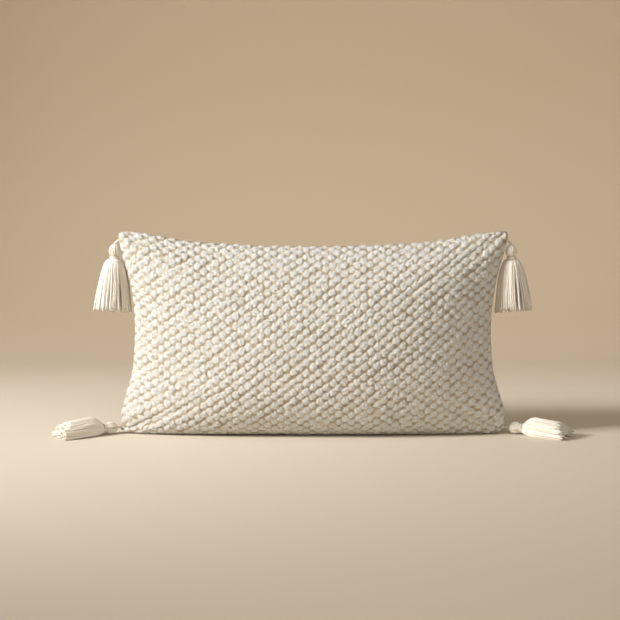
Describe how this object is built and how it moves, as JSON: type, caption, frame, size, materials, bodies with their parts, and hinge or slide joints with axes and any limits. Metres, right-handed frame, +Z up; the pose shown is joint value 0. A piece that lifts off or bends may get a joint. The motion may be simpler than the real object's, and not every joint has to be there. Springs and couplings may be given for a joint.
{
  "type": "throw pillow",
  "caption": "Rectangular lumbar throw pillow in cream bobble knit, standing on its long seam, with a tassel on a cord at every corner and a hidden zip in the base.",
  "frame": {"origin": "on the ground under the middle of the standing pillow, at the bottom centre of its box", "axes": "+X along the pillow's length, +Y through it from front to back, +Z up"},
  "size_m": [0.7998, 0.1478, 0.3096],
  "materials": {
    "knit": "cream chunky cotton bobble knit, matt and slightly fuzzy",
    "yarn": "cream soft-spun cotton yarn, matt",
    "lining": "off-white plain-weave cotton lining",
    "filling": "white polyester fibre",
    "sewing_thread": "cream spun sewing thread",
    "zip_tape": "cream woven polyester tape",
    "zip_coil": "cream nylon coil",
    "zip_metal": "cream enamelled zip metal"
  },
  "bodies": {
    "pillow": {"cover_front": "knit", "cover_back": "knit", "cover_seam_thread": "sewing_thread", "insert_front": "lining", "insert_back": "lining", "insert_seam_thread": "sewing_thread", "fibre_fill": "filling", "zipper_tape_front": "zip_tape", "zipper_tape_back": "zip_tape", "zipper_coil_front": "zip_coil", "zipper_coil_back": "zip_coil", "zipper_stop_left": "zip_metal", "zipper_stop_right": "zip_metal", "tassel_top_left_knot": "yarn", "tassel_top_right_knot": "yarn", "tassel_bottom_left_knot": "yarn", "tassel_bottom_right_knot": "yarn"},
    "zip_slider": {"zipper_slider": "zip_metal"},
    "zip_pull": {"zipper_pull": "zip_metal"},
    "top_left_cord": {"tassel_top_left_cord": "yarn"},
    "top_left_tassel": {"tassel_top_left_yarns": "yarn", "tassel_top_left_binding": "yarn"},
    "top_right_cord": {"tassel_top_right_cord": "yarn"},
    "top_right_tassel": {"tassel_top_right_yarns": "yarn", "tassel_top_right_binding": "yarn"},
    "bottom_left_cord": {"tassel_bottom_left_cord": "yarn"},
    "bottom_left_tassel": {"tassel_bottom_left_yarns": "yarn", "tassel_bottom_left_binding": "yarn"},
    "bottom_right_cord": {"tassel_bottom_right_cord": "yarn"},
    "bottom_right_tassel": {"tassel_bottom_right_yarns": "yarn", "tassel_bottom_right_binding": "yarn"}
  },
  "joints": [
    {"name": "zip_slide", "type": "slide", "parent": "pillow", "child": "zip_slider", "axis": [-1, 0, 0], "range_m": [0, 0.385]},
    {"name": "pull_flip", "type": "hinge", "parent": "zip_slider", "child": "zip_pull", "pos_m": [0.194, 0, 0.0014], "axis": [0, 1, 0], "range_deg": [0, 170]},
    {"name": "top_left_cord_lift", "type": "hinge", "parent": "pillow", "child": "top_left_cord", "pos_m": [-0.29743, 0, 0.29762], "axis": [0, 1, 0], "range_deg": [0, 95]},
    {"name": "top_left_tassel_swing", "type": "hinge", "parent": "top_left_cord", "child": "top_left_tassel", "pos_m": [-0.30193, 0, 0.29262], "axis": [1, 0, 0], "range_deg": [-50, 50]},
    {"name": "top_right_cord_lift", "type": "hinge", "parent": "pillow", "child": "top_right_cord", "pos_m": [0.29743, 0, 0.29762], "axis": [0, -1, 0], "range_deg": [0, 95]},
    {"name": "top_right_tassel_swing", "type": "hinge", "parent": "top_right_cord", "child": "top_right_tassel", "pos_m": [0.30193, 0, 0.29262], "axis": [-1, 0, 0], "range_deg": [-50, 50]},
    {"name": "bottom_left_cord_lift", "type": "hinge", "parent": "pillow", "child": "bottom_left_cord", "pos_m": [-0.29793, 0, 0.0095], "axis": [0, 1, 0], "range_deg": [0, 55]},
    {"name": "bottom_left_tassel_turn", "type": "hinge", "parent": "bottom_left_cord", "child": "bottom_left_tassel", "pos_m": [-0.30114, -0.00163, 0.0095], "axis": [0, 0, 1], "range_deg": [-54, 20]},
    {"name": "bottom_right_cord_lift", "type": "hinge", "parent": "pillow", "child": "bottom_right_cord", "pos_m": [0.29793, 0, 0.0095], "axis": [0, -1, 0], "range_deg": [0, 55]},
    {"name": "bottom_right_tassel_turn", "type": "hinge", "parent": "bottom_right_cord", "child": "bottom_right_tassel", "pos_m": [0.30114, -0.00163, 0.0095], "axis": [0, 0, -1], "range_deg": [-54, 20]}
  ]
}
